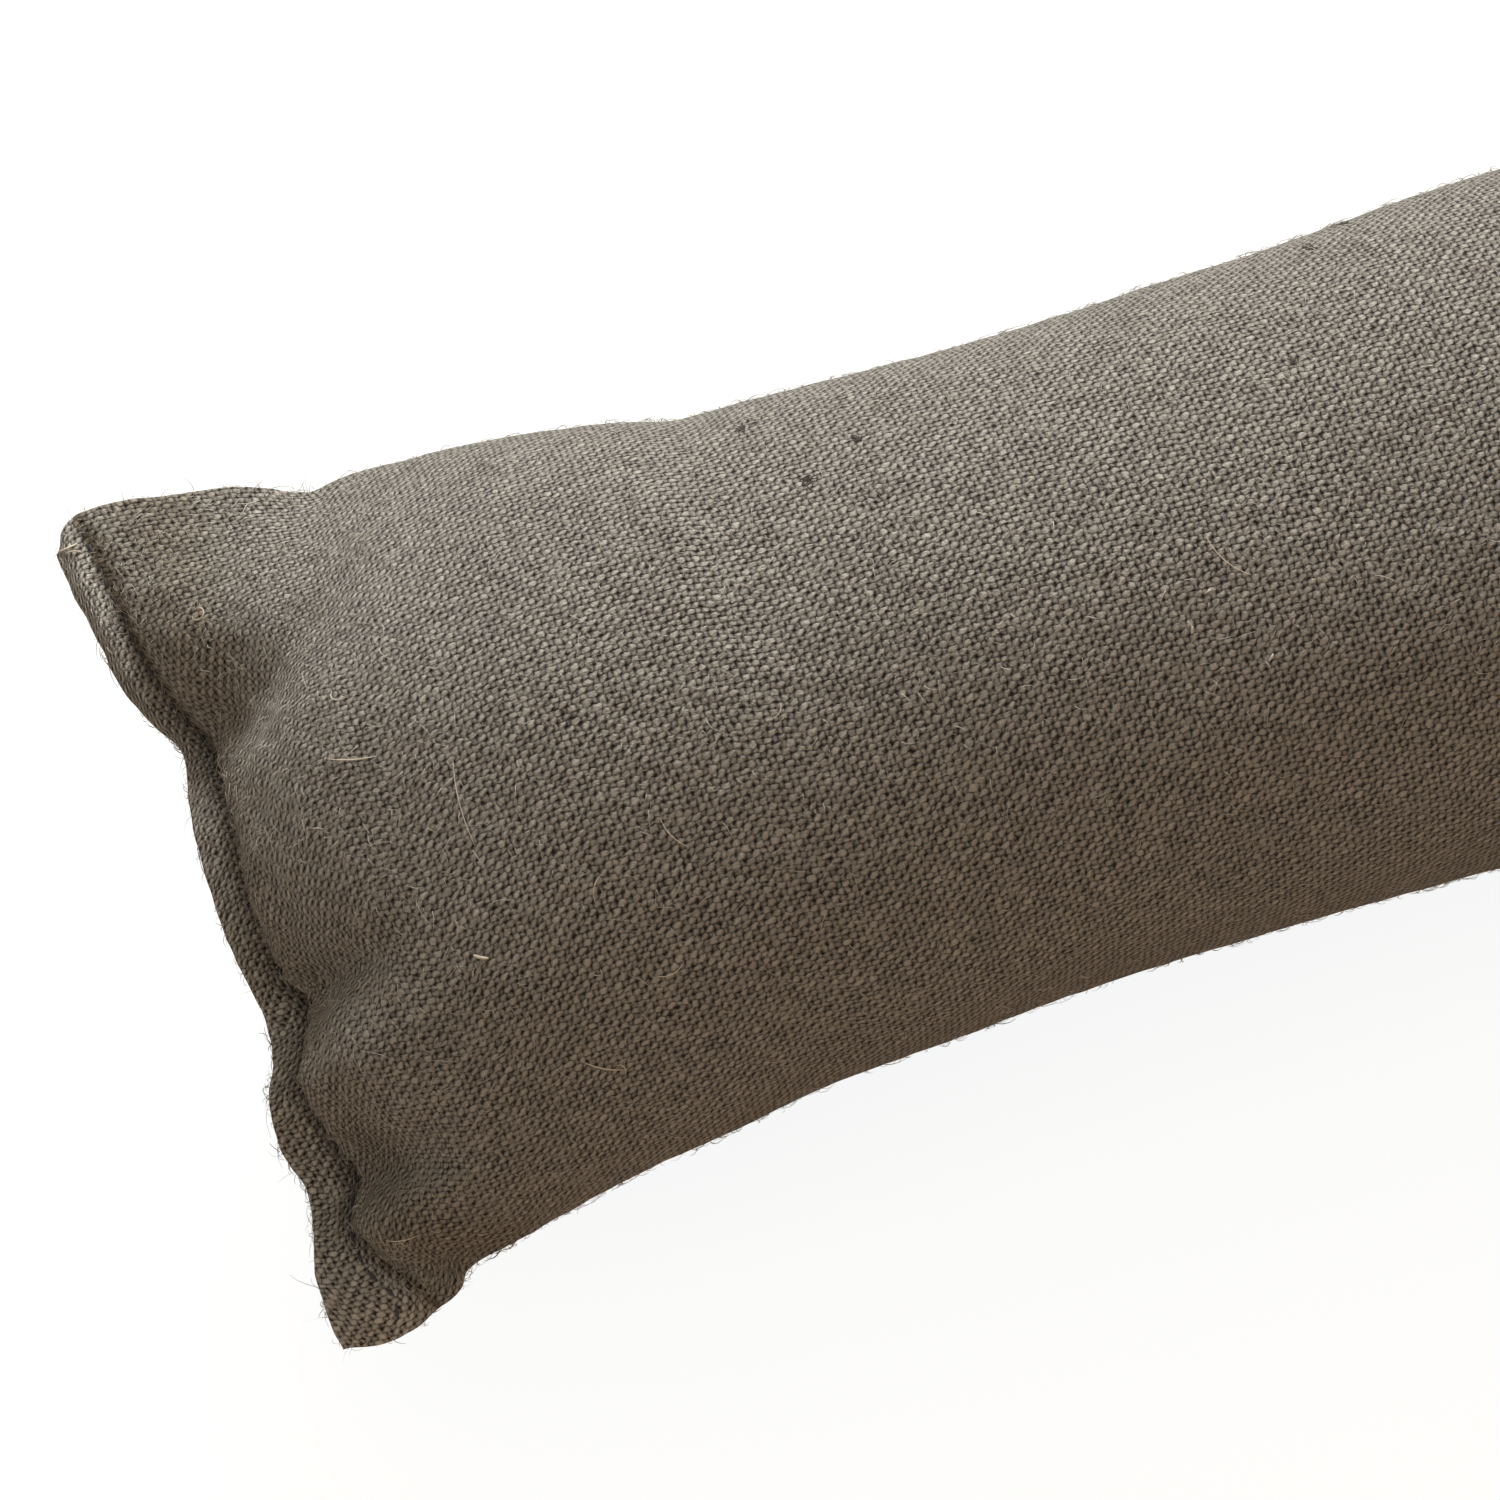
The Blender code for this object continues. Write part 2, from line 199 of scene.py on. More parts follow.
# Cross-sections along the tube. station: distance from the left end seam, below 0 or above the last seam on
# the flanges. far, near: where the sides lie. level: height of the widest line. rise, drop: how far the cloth
# stands above and below it. crown_far, crown_near: 0.5 rounds that side, 1 and more flattens it to an ear.
SECTION_COLUMNS = ("station", "far", "near", "level", "rise", "drop", "crown_far", "crown_near")
SECTIONS = (
    (-9.0, 84.5, -81.2, 58.0, 2.5, 2.5, 2.60, 0.62),
    (-6.0, 88.8, -82.6, 58.0, 2.5, 2.5, 2.60, 0.62),
    (-3.0, 90.6, -82.2, 58.0, 2.5, 2.5, 2.60, 0.62),
    (0.0, 91.4, -79.8, 58.0, 2.5, 2.5, 2.60, 0.62),
    (1.5, 91.5, -79.3, 58.0, 12.0, 9.0, 2.60, 0.60),
    (4.0, 91.6, -78.6, 58.0, 21.0, 16.0, 2.60, 0.58),
    (7.0, 91.3, -77.4, 58.0, 27.5, 22.0, 2.55, 0.57),
    (11.0, 90.6, -74.9, 58.0, 33.0, 28.0, 2.45, 0.57),
    (16.0, 89.4, -73.7, 58.0, 37.5, 33.0, 2.30, 0.57),
    (22.0, 87.8, -73.0, 58.0, 41.5, 38.0, 2.00, 0.58),
    (29.0, 85.4, -72.3, 58.0, 45.0, 42.5, 1.65, 0.59),
    (37.0, 83.4, -71.2, 58.0, 47.8, 47.0, 1.30, 0.60),
    (43.0, 82.2, -70.2, 58.0, 49.4, 50.0, 1.10, 0.60),
    (49.0, 81.3, -69.3, 58.0, 50.6, 53.0, 0.95, 0.59),
    (62.0, 80.1, -67.6, 58.0, 52.8, 57.5, 0.76, 0.57),
    (74.0, 78.1, -66.6, 57.9, 54.6, 60.0, 0.66, 0.55),
    (98.0, 72.9, -63.8, 57.8, 57.4, 62.0, 0.56, 0.52),
    (110.0, 68.9, -63.4, 57.7, 58.4, 62.2, 0.53, 0.50),
    (122.0, 67.9, -63.1, 57.6, 59.2, 62.2, 0.51, 0.50),
    (148.0, 66.7, -62.5, 57.5, 60.6, 62.2, 0.50, 0.50),
    (196.0, 64.4, -64.2, 57.4, 61.2, 62.2, 0.50, 0.50),
    (222.0, 64.7, -66.2, 57.5, 61.3, 62.3, 0.50, 0.50),
    (250.0, 64.8, -67.6, 57.6, 61.4, 62.4, 0.50, 0.50),
    (310.0, 64.0, -68.0, 57.8, 61.0, 62.6, 0.50, 0.50),
    (370.0, 61.4, -67.8, 57.5, 60.2, 62.2, 0.50, 0.50),
    (430.0, 61.8, -66.0, 57.2, 60.0, 61.8, 0.50, 0.50),
    (490.0, 63.8, -64.4, 57.4, 60.8, 62.0, 0.50, 0.50),
    (550.0, 65.6, -64.0, 57.7, 61.4, 62.4, 0.50, 0.50),
    (610.0, 66.8, -63.2, 57.6, 61.0, 62.4, 0.50, 0.50),
    (670.0, 65.4, -63.0, 57.4, 60.4, 62.2, 0.50, 0.50),
    (722.0, 64.0, -64.6, 57.5, 60.2, 62.2, 0.50, 0.50),
    (748.0, 64.2, -67.0, 57.6, 59.0, 62.2, 0.50, 0.51),
    (772.0, 65.0, -70.6, 57.8, 57.0, 62.0, 0.52, 0.56),
    (796.0, 67.0, -75.8, 57.9, 54.4, 60.0, 0.55, 0.66),
    (808.0, 68.4, -78.0, 58.0, 52.6, 57.5, 0.57, 0.76),
    (821.0, 70.2, -79.8, 58.0, 50.2, 53.0, 0.59, 0.95),
    (827.0, 71.0, -81.2, 58.0, 49.0, 50.0, 0.60, 1.10),
    (833.0, 72.0, -82.8, 58.0, 47.4, 47.0, 0.60, 1.30),
    (841.0, 73.4, -85.2, 58.0, 44.6, 42.5, 0.59, 1.65),
    (848.0, 74.6, -87.6, 58.0, 41.0, 38.0, 0.58, 2.00),
    (854.0, 75.8, -89.4, 58.0, 37.0, 33.0, 0.57, 2.30),
    (859.0, 77.4, -90.6, 58.0, 32.5, 28.0, 0.57, 2.45),
    (863.0, 79.6, -91.3, 58.0, 27.0, 22.0, 0.57, 2.55),
    (866.0, 81.0, -91.6, 58.0, 20.5, 16.0, 0.58, 2.60),
    (868.5, 82.0, -91.5, 58.0, 11.5, 9.0, 0.60, 2.60),
    (870.0, 82.6, -91.2, 58.0, 2.5, 2.5, 0.62, 2.60),
    (873.0, 84.6, -90.4, 58.0, 2.5, 2.5, 0.62, 2.60),
    (876.0, 84.8, -88.8, 58.0, 2.5, 2.5, 0.62, 2.60),
    (879.0, 83.2, -85.0, 58.0, 2.5, 2.5, 0.62, 2.60),
)

# Short creases where a side is pinched in. station: where. width, depth: how wide and deep. side: 1 far, -1 near.
PINCH_COLUMNS = ("station", "width", "depth", "side")
PINCHES = ((36.0, 6.0, 2.8, 1), (834.0, 6.0, 2.8, -1))

# The end seams. across: place along the seam, from the near corner to the far one.
# valley: how far in the stitched line lies. edge: how far in the flange's free edge lies. lift: up or down.
SEAM_COLUMNS = ("across", "valley", "edge", "lift")
LEFT_SEAM = (
    (-82.0, 26.5, 6.8, 2.0),
    (-76.0, 24.5, 6.2, 3.5),
    (-67.0, 18.6, 6.0, 2.0),
    (-59.0, 16.0, 7.6, -1.0),
    (-50.5, 18.8, 8.6, -4.0),
    (-42.0, 16.8, 6.6, -1.0),
    (-33.0, 15.2, 7.4, 2.5),
    (-25.0, 18.4, 10.4, 0.5),
    (-17.0, 21.0, 10.9, -4.0),
    (-10.0, 17.4, 10.3, -1.0),
    (4.0, 17.2, 9.0, 2.0),
    (20.0, 18.0, 9.2, 1.5),
    (31.0, 17.6, 10.2, -2.0),
    (39.0, 17.0, 11.0, -6.0),
    (47.0, 13.6, 7.0, -4.0),
    (56.0, 11.0, 3.8, -0.5),
    (66.0, 9.4, 2.5, 1.0),
    (76.0, 8.0, 0.8, 1.6),
    (84.0, 7.0, 0.0, 1.3),
    (90.0, 6.2, 0.0, 1.0),
)
RIGHT_SEAM = (
    (-90.0, 7.0, 0.0, 0.0),
    (-76.0, 8.4, 0.0, 2.0),
    (-60.0, 12.0, 4.8, -1.0),
    (-48.0, 17.0, 10.0, -5.0),
    (-36.0, 14.8, 8.4, 0.0),
    (-22.0, 14.0, 7.6, 2.0),
    (-8.0, 15.4, 9.0, 0.0),
    (2.0, 18.0, 11.0, -4.0),
    (12.0, 15.0, 8.8, 0.0),
    (26.0, 14.2, 7.8, 2.0),
    (38.0, 15.6, 8.8, 0.0),
    (48.0, 17.8, 10.2, -4.0),
    (58.0, 14.2, 6.8, 0.0),
    (70.0, 16.8, 6.0, 2.0),
    (84.0, 21.0, 5.8, 0.0),
)

# Tucks that run in from an end seam. start, stop: across the tube at the seam and at the tuck's far end.
# reach: how far in it runs. depth: at the seam. far_width, near_width: how wide its two flanks are there.
# side: 1 on the upper face, -1 on the lower one.
TUCK_COLUMNS = ("start", "stop", "reach", "depth", "far_width", "near_width", "side")
LEFT_TUCKS = (
    (38.5, 51.0, 44.0, 16.0, 13.0, 17.0, 1),
    (48.0, 58.0, 50.0, 14.0, 34.0, 30.0, 1),
    (-14.5, -18.0, 30.0, 12.0, 13.0, 7.0, 1),
    (-51.5, -58.0, 32.0, 14.0, 12.0, 7.0, 1),
    (-72.0, -77.0, 30.0, 14.0, 6.0, 16.0, 1),
    (36.0, 44.0, 34.0, 11.0, 14.0, 11.0, -1),
    (-14.0, -18.0, 30.0, 8.0, 11.0, 11.0, -1),
    (-50.0, -55.0, 32.0, 9.0, 11.0, 11.0, -1),
)
RIGHT_TUCKS = (
    (-48.0, -57.0, 40.0, 14.0, 15.0, 13.0, 1),
    (-54.0, -62.0, 46.0, 13.0, 30.0, 34.0, 1),
    (2.0, 5.0, 30.0, 8.0, 9.0, 12.0, 1),
    (48.0, 56.0, 30.0, 9.0, 9.0, 12.0, 1),
    (74.0, 78.0, 28.0, 12.0, 16.0, 6.0, 1),
    (-46.0, -52.0, 34.0, 10.0, 12.0, 12.0, -1),
    (0.0, -4.0, 30.0, 8.0, 12.0, 12.0, -1),
    (47.0, 52.0, 30.0, 8.0, 12.0, 12.0, -1),
)

# How far the weave's yarns wander and fray, in yarns, and how far their relief stands out, in metres
WANDER = 1.6
FRAY = 0.6
WEAVE_RELIEF = 0.00085

# Colours: painted shade in the gaps between yarns, their crowns, the brown tint of the painted shade beside the
# seams, the thread, the fibres and the floor
PAINTED_GAP_SHADE = (0.014, 0.010, 0.007, 1.0)
CROWN_COLOUR = (0.474, 0.452, 0.401, 1.0)
CROWN_LIMITS = (0.24, 1.10)
# The brown tint of the painted shade beside the seams, like warm bounced light, and how strong that painted shade is
PAINTED_SHADE_TINT = (1.0, 0.88, 0.70, 1.0)
PAINTED_SHADE_STRENGTH = 0.45
THREAD_COLOURS = ((0.030, 0.036, 0.045, 1.0), (0.105, 0.115, 0.130, 1.0))
PALE_COLOURS = ((0.60, 0.50, 0.36, 1.0), (0.95, 0.90, 0.80, 1.0))
GREY_COLOURS = ((0.30, 0.28, 0.24, 1.0), (0.85, 0.80, 0.71, 1.0))
DARK_COLOURS = ((0.030, 0.026, 0.020, 1.0), (0.085, 0.074, 0.060, 1.0))
FLOOR_COLOUR = (0.50, 0.46, 0.42, 1.0)
FLOOR_GLOW = (0.80, 0.84, 0.86, 1.0)
FLOOR_HALF_SIDE = 3000.0
FLOOR_DEPTH = 0.2

# The window's soft light, and the room's light that changes along one direction
WINDOW_DIRECTION = (0.58, 1.0, 0.29)
WINDOW_STRENGTH = 3.97
WINDOW_COLOUR = (1.0, 0.99, 0.975)
WINDOW_ANGLE = 36
ROOM_DIRECTION = (-0.25, 0.70, 0.65)
ROOM_LIMITS = (-0.9, 0.7)
ROOM_DIM_COLOUR = (0.38, 0.200, 0.095, 1.0)
ROOM_BRIGHT_COLOUR = (0.430, 0.380, 0.325, 1.0)

# The camera looks almost straight down on the left end, from a little to the near side
CAMERA_TARGET = (-0.3330, 0.0030, 0.058)
CAMERA_ELEVATION = 80.0
CAMERA_YAW = -19.0
CAMERA_DISTANCE = 0.606
SENSOR_WIDTH = 36.0
IMAGE_SIDE = 1500
FOCAL_PIXELS = 3087.0


# Reading the tables

def named_rows(columns, rows):
    return [dict(zip(columns, row)) for row in rows]


def smoothstep(value):
    value = np.clip(value, 0.0, 1.0)
    return value * value * (3 - 2 * value)


def fade(distance, reach):
    """1 at the seam, 0 past the reach."""
    return 1 - smoothstep(distance / reach)


def smooth_read(rows, key, column, place):
    """Reads a column at many places between its rows, on a curve that never overshoots them."""
    keys = np.array([row[key] for row in rows])
    values = np.array([row[column] for row in rows])
    slope = np.diff(values) / np.diff(keys)
    before, after = slope[:-1], slope[1:]
    total = np.where(before * after > 0, before + after, 1.0)
    inner = np.where(before * after > 0, 2 * before * after / total, 0.0)
    rate = np.concatenate([[0.0], inner, [0.0]])
    place = np.clip(place, keys[0], keys[-1])
    first = np.clip(np.searchsorted(keys, place, side="right") - 1, 0, len(keys) - 2)
    width = keys[first + 1] - keys[first]
    share = (place - keys[first]) / width
    start, end = values[first], values[first + 1]
    out = share * (1 - share) ** 2 * rate[first] * width
    back = share**2 * (1 - share) * rate[first + 1] * width
    return start + (end - start) * smoothstep(share) + out - back


def tuck_depth(tucks, run, across, side):
    """How far the tucks of one end draw the cloth in, at distances from the seam and places across."""
    depth = np.zeros(np.broadcast(run, across).shape)
    for tuck in tucks:
        share = np.clip(run / tuck["reach"], 0.0, 1.0)
        offset = across - (tuck["start"] + (tuck["stop"] - tuck["start"]) * share)
        width = np.where(offset > 0, tuck["far_width"], tuck["near_width"]) * (1 - TUCK_NARROWING * share)
        flank = np.exp(-2 * np.abs(offset / width) ** TUCK_FLANK_POWER)
        depth += np.where(side == tuck["side"], tuck["depth"] * flank * fade(run, tuck["reach"]), 0.0)
    return depth


class End:
    """One end of the tube: the left one faces -X, the right one +X."""

    def __init__(self, seam, tucks, facing):
        self.seam = named_rows(SEAM_COLUMNS, seam)
        self.tucks = named_rows(TUCK_COLUMNS, tucks)
        self.facing = facing

    def seam_value(self, column, across):
        return smooth_read(self.seam, "across", column, across)

    def x_of(self, inset):
        return self.facing * (LENGTH / 2 - inset)

    def x_of_run(self, run, across):
        wave = self.seam_value("valley", across) - SEAM_INSET
        return self.x_of(SEAM_INSET + run + wave * fade(run, SEAM_FADE))

    def flange_x(self, share, across):
        valley = self.seam_value("valley", across)
        edge = self.seam_value("edge", across)
        return self.x_of(edge + (valley - edge) * share)

    def lift(self, run, across):
        return self.seam_value("lift", across) * fade(run, LEVEL_FADE)


LEFT = End(LEFT_SEAM, LEFT_TUCKS, -1)
RIGHT = End(RIGHT_SEAM, RIGHT_TUCKS, 1)
SECTION_ROWS = named_rows(SECTION_COLUMNS, SECTIONS)
STITCH_ROWS = named_rows(STITCH_COLUMNS, STITCHES)

# Around a ring: shares run from 1 at the far side over the top to -1 at the near side and back underneath
ANGLES = 2 * math.pi * np.arange(POINTS_AROUND) / POINTS_AROUND
SHARES = np.cos(ANGLES)
SIDES = np.where(np.sin(ANGLES) >= -1e-9, 1, -1)


def section_at(station):
    section = {name: smooth_read(SECTION_ROWS, "station", name, station) for name in SECTION_COLUMNS[1:]}
    return {"station": station, **section}


def pinch_depth(station, share):
    """How far the creases in the sides draw them in, felt only close to the side."""
    depth = 0.0
    for pinch in named_rows(PINCH_COLUMNS, PINCHES):
        near_side = np.maximum(0.0, share * pinch["side"]) ** PINCH_SHARPNESS
        dip = np.exp(-(((station - pinch["station"]) / pinch["width"]) ** 2))
        depth = depth + pinch["side"] * pinch["depth"] * near_side * dip
    return depth


def across_of(section, share):
    straight = section["near"] + (section["far"] - section["near"]) * (share + 1) / 2
    return straight - pinch_depth(section["station"], share)


def flap_thickness(run):
    """The flat cloth's thickness: pressed thin by the stitches, full away from them."""
    return FLANGE_THICKNESS - (FLANGE_THICKNESS - SEAM_THICKNESS) * fade(run, PRESS_REACH)


def flap_height(thickness, share):
    """Half the thickness of flat cloth, rounded off at its two sides."""
    return thickness / 2 * np.sqrt(np.maximum(0.0, 1 - share**FLAP_SQUARENESS))


def filled_height(section, share, side):
    """How far the filling lifts the cloth off the flat flap: most in the middle, nothing at the sides."""
    crown = np.where(share > 0, section["crown_far"], section["crown_near"])
    power = 2 + EAR_SHARPNESS * (crown - 0.5)
    reach = np.where(side > 0, section["rise"], section["drop"])
    return (reach - FLANGE_THICKNESS / 2) * np.maximum(0.0, 1 - np.abs(share) ** power) ** crown


def body_ring(station):
    """One ring of the stuffed body, at a distance from the left seam."""
    end, run = (LEFT, station) if station < SEAM_TO_SEAM / 2 else (RIGHT, SEAM_TO_SEAM - station)
    section = section_at(station)
    across = across_of(section, SHARES)
    filled = filled_height(section, SHARES, SIDES)
    depth = tuck_depth(end.tucks, run, across, SIDES)
    filled = filled * filled / np.maximum(filled + depth, 1e-9)
    level = section["level"] + end.lift(run, across)
    height = flap_height(flap_thickness(run), SHARES) + filled
    lean = OVERHANG * math.exp(-(((run - OVERHANG_RUN) / OVERHANG_RUN) ** 2))
    x = end.x_of_run(run, across) + end.facing * lean * filled / (filled + OVERHANG_HALF_HEIGHT)
    return np.stack([x, across, np.maximum(0.0, level + SIDES * height)], 1)


def stitch_inset(end, across):
    """How far in from the tube's end the top-stitches lie."""
    back = smooth_read(STITCH_ROWS, "across", "back", -end.facing * across)
    return end.seam_value("valley", across) - back


def flange_surface(end, share, across, outline):
    """Half the flange's thickness: a rounded free edge, and a groove where the stitches pull it thin."""
    valley, edge = end.seam_value("valley", across), end.seam_value("edge", across)
    inset = edge + (valley - edge) * share
    thickness = flap_thickness(valley - inset)
    roll = np.clip((inset - edge) / EDGE_ROLL, 0.0, 1.0)
    thickness = thickness * (EDGE_THINNEST + (1 - EDGE_THINNEST) * np.sqrt(1 - (1 - roll) ** 2))
    groove = np.exp(-(((inset - stitch_inset(end, across)) / GROOVE_WIDTH) ** 2))
    return flap_height(thickness - GROOVE_DEPTH * groove, outline)


def flange_ring(end, share):
    """One ring of the flat stitched flange. The share is 0 at the free edge and 1 at the seam."""
    outwards = FLANGE_REACH * (1 - share)
    section = section_at(-outwards if end is LEFT else SEAM_TO_SEAM + outwards)
    across = across_of(section, SHARES)
    level = section["level"] + end.lift(0.0, across) + FLANGE_CURL * (1 - share) ** 2
    height = flange_surface(end, share, across, SHARES)
    return np.stack([end.flange_x(share, across), across, level + SIDES * height], 1)


def flange_rings(end):
    """The flange from its rounded free edge to the seam, closest together at the edge."""
    return [flange_ring(end, (i / FLANGE_RINGS) ** FLANGE_RING_POWER) for i in range(FLANGE_RINGS)]


def body_stations():
    """Where the body's rings stand: close together at both ends, wider apart in the middle."""
    stations = []
    bands = named_rows(BAND_COLUMNS, BANDS)
    for band, following in zip(bands, bands[1:] + [{"start": SEAM_TO_SEAM}]):
        count = round((following["start"] - band["start"]) / band["step"])
        step = (following["start"] - band["start"]) / count
        stations += [band["start"] + step * i for i in range(count)]
    return stations + [SEAM_TO_SEAM]


def ring_normals(rings):
    """Outward directions at every point of the rings."""
    along = np.gradient(rings, axis=0)
    around = np.roll(rings, -1, axis=1) - np.roll(rings, 1, axis=1)
    normals = np.cross(around, along)
    return normals / np.maximum(np.linalg.norm(normals, axis=2, keepdims=True), 1e-9)


def lumps(points, wavelengths, count, seed):
    """Soft uneven swellings, between about -1 and 1."""
    chance = np.random.default_rng(seed)
    total = np.zeros(points.shape[:-1])
    for _ in range(count):
        heading = chance.normal(size=3)
        heading /= np.linalg.norm(heading)
        turns = 2 * math.pi / chance.uniform(*wavelengths)
        total += np.sin(points @ heading * turns + chance.uniform(0, 2 * math.pi))
    return total / math.sqrt(count)


def plump(rings, runs):
    """Adds the filling's lumps, fine puckers by the stitches and a slight waviness of the cloth itself."""
    normals = ring_normals(rings)
    away = runs[:, None]
    off_floor = smoothstep((rings[..., 2] - FLOOR_GAP) / FLOOR_FADE)
    swell = LUMP_HEIGHT * lumps(rings, *LUMP_WAVES) * smoothstep((away - LUMPS_START) / LUMPS_FADE)
    ripple = RIPPLE_HEIGHT * lumps(rings * RIPPLE_STRETCH, *RIPPLE_WAVES) * smoothstep(away / RIPPLES_RISE)
    ripple = ripple * (1 - smoothstep((away - RIPPLES_STOP) / RIPPLES_FADE))
    grain = GRAIN_HEIGHT * lumps(rings, *GRAIN_WAVES)
    moved = rings + normals * ((swell + ripple + grain) * off_floor)[..., None]
    moved[..., 2] = np.maximum(moved[..., 2], 0.0)
    return moved


def yarn_counts(rings, first_body, last_body):
    """For each point, how many yarns lie before it along the tube and around it.

    The first count runs from ring to ring through the body, and the second one starts afresh at each seam, so
    the flange's yarns lie square to its stitches.
    """
    steps = np.linalg.norm(np.diff(rings, axis=0), axis=2)
    walk = np.concatenate([np.zeros((1, POINTS_AROUND)), np.cumsum(steps, axis=0)]) / YARN_PITCH
    middle = (first_body + last_body) // 2
    along = walk - walk[middle] + YARNS_ALONG // 2
    on_flange = walk - walk[first_body]
    on_flange[last_body:] = walk[last_body:] - walk[last_body] + YARNS_ALONG
    closed = np.concatenate([rings, rings[:, :1]], axis=1)
    steps = np.linalg.norm(np.diff(closed, axis=1), axis=2)
    half = POINTS_AROUND // 2
    around = np.zeros((len(rings), POINTS_AROUND + 1))
    for first in (0, half):
        walk = np.cumsum(steps[:, first:first + half], axis=1)
        around[:, first + 1:first + half + 1] = around[:, first:first + 1] + YARNS_PER_HALF * walk / walk[:, -1:]
    return along, on_flange, around


def painted_seam_shade(rings, first_body, last_body):
    """Painted shade: 1 in the crease beside a seam, less in a band behind it, and below 0 on the flange, where it
    becomes painted light that makes the flange paler.
    """
    painted_shade = np.zeros(rings.shape[:2])
    for row in (first_body, last_body):
        distance = np.linalg.norm(rings - rings[row], axis=2)
        painted_shade = np.maximum(painted_shade, np.exp(-((distance / CREASE_WIDTH) ** 2)))
        # A band of painted shade behind the crease
        shaded_band = SHADED_BAND_DARKNESS * np.exp(-(((distance - SHADED_BAND_CENTRE) / SHADED_BAND_SPREAD) ** 2))
        painted_shade[first_body:last_body + 1] = np.maximum(painted_shade, shaded_band)[first_body:last_body + 1]
    # On the flanges the painted shade turns negative: painted light that makes them paler
    for flange in (painted_shade[:first_body], painted_shade[last_body + 1:]):
        flange *= 1 + FLANGE_PAINTED_LIGHT
        flange -= FLANGE_PAINTED_LIGHT
    return painted_shade


def corner_counts(mesh, rings, first_body, last_body):
    """The yarn counts at each corner of each face, and the painted shade there beside the seams or painted light on
    the flanges.
    """
    along, on_flange, around = yarn_counts(rings, first_body, last_body)
    vertex = np.zeros(len(mesh.loops), dtype=np.int32)
    starts, totals = np.zeros((2, len(mesh.polygons)), dtype=np.int32)
    mesh.loops.foreach_get("vertex_index", vertex)
    mesh.polygons.foreach_get("loop_start", starts)
    mesh.polygons.foreach_get("loop_total", totals)
    ring, point = vertex // POINTS_AROUND, vertex % POINTS_AROUND
    face_ring = np.repeat(np.minimum.reduceat(ring, starts), totals)
    outside = (face_ring < first_body) | (face_ring >= last_body)
    wraps = (point == 0) & (np.repeat(np.maximum.reduceat(point, starts), totals) == POINTS_AROUND - 1)
    counts = np.zeros((len(vertex), 3), dtype=np.float32)
    counts[:, 0] = np.where(outside, on_flange[ring, point], along[ring, point])
    counts[:, 1] = around[ring, np.where(wraps, POINTS_AROUND, point)]
    counts[:, 2] = painted_seam_shade(rings, first_body, last_body)[ring, point]
    return counts


def new_object(name, vertices, faces, material):
    """Makes a smooth mesh object from points in millimetres."""
    mesh = bpy.data.meshes.new(name)
    mesh.from_pydata((np.asarray(vertices) * MM).tolist(), [], faces)
    mesh.update()
    mesh.shade_smooth()
    mesh.materials.append(material)
    made = bpy.data.objects.new(name, mesh)
    bpy.context.scene.collection.objects.link(made)
    return made


def make_cover(material):
    """The stuffed cover, lofted through its rings and closed along both free edges."""
    left, right = flange_rings(LEFT), flange_rings(RIGHT)[::-1]
    stations = body_stations()
    rings = np.array(left + [body_ring(station) for station in stations] + right)
    first_body, last_body = len(left), len(left) + len(stations) - 1
    runs = np.array([min(station, SEAM_TO_SEAM - station) for station in stations])
    runs = np.concatenate([np.zeros(len(left)), runs, np.zeros(len(right))])
    rings = plump(rings, runs)
    index = np.arange(len(rings) * POINTS_AROUND).reshape(len(rings), POINTS_AROUND)
    after = np.roll(index, -1, axis=1)
    faces = np.stack([index[:-1], after[:-1], after[1:], index[1:]], 2).reshape(-1, 4).tolist()
    last = (len(rings) - 1) * POINTS_AROUND
    for i in range(POINTS_AROUND // 2):
        corners = [i, i + 1, (POINTS_AROUND - i - 1) % POINTS_AROUND, (POINTS_AROUND - i) % POINTS_AROUND]
        corners = list(dict.fromkeys(corners))
        faces.append(corners[::-1])
        faces.append([last + corner for corner in corners])
    cover = new_object("cover_cloth", rings.reshape(-1, 3), faces, material)
    counts = corner_counts(cover.data, rings, first_body, last_body)
    # Its third value is the painted shade beside the seams and the painted light on the flanges
    yarns = cover.data.attributes.new("yarns", "FLOAT_VECTOR", "CORNER")
    yarns.data.foreach_set("vector", counts.ravel())
    return cover


# Thread and fibres

def thin_tube(path, radii, sides, vertices, faces):
    """Adds a closed tube along a path to a list of points and faces."""
    path = np.asarray(path, dtype=float)
    first = len(vertices)
    ways = np.gradient(path, axis=0)
    ways /= np.maximum(np.linalg.norm(ways, axis=1, keepdims=True), 1e-9)
    helper = np.array((0.0, 0.0, 1.0)) if abs(ways[0, 2]) < 0.8 else np.array((1.0, 0.0, 0.0))
    for point, way, radius in zip(path, ways, radii):
        side = np.cross(way, helper)
        side /= np.linalg.norm(side)
        rise = np.cross(side, way)
        for i in range(sides):
            turn = 2 * math.pi * i / sides
            vertices.append(point + radius * (math.cos(turn) * side + math.sin(turn) * rise))
    for k in range(len(path) - 1):
        for i in range(sides):
            j = (i + 1) % sides
            row = first + k * sides
            faces.append((row + i, row + sides + i, row + sides + j, row + j))
    end = first + (len(path) - 1) * sides
    faces.append(tuple(first + i for i in range(sides)))
    faces.append(tuple(end + i for i in reversed(range(sides))))


def flange_point(end, across, inset, side):
    """The point of the flange's upper or lower face at a place across and a distance in from the end."""
    valley, edge = end.seam_value("valley", across), end.seam_value("edge", across)
    share = float(np.clip((inset - edge) / (valley - edge), 0.0, 1.0))
    outwards = FLANGE_REACH * (1 - share)
    section = section_at(-outwards if end is LEFT else SEAM_TO_SEAM + outwards)
    outline = 2 * (across - section["near"]) / (section["far"] - section["near"]) - 1
    outline = float(np.clip(outline, -1.0, 1.0))
    level = section["level"] + end.lift(0.0, across) + FLANGE_CURL * (1 - share) ** 2
    return np.array((end.x_of(inset), across, level + side * flange_surface(end, share, across, outline)))


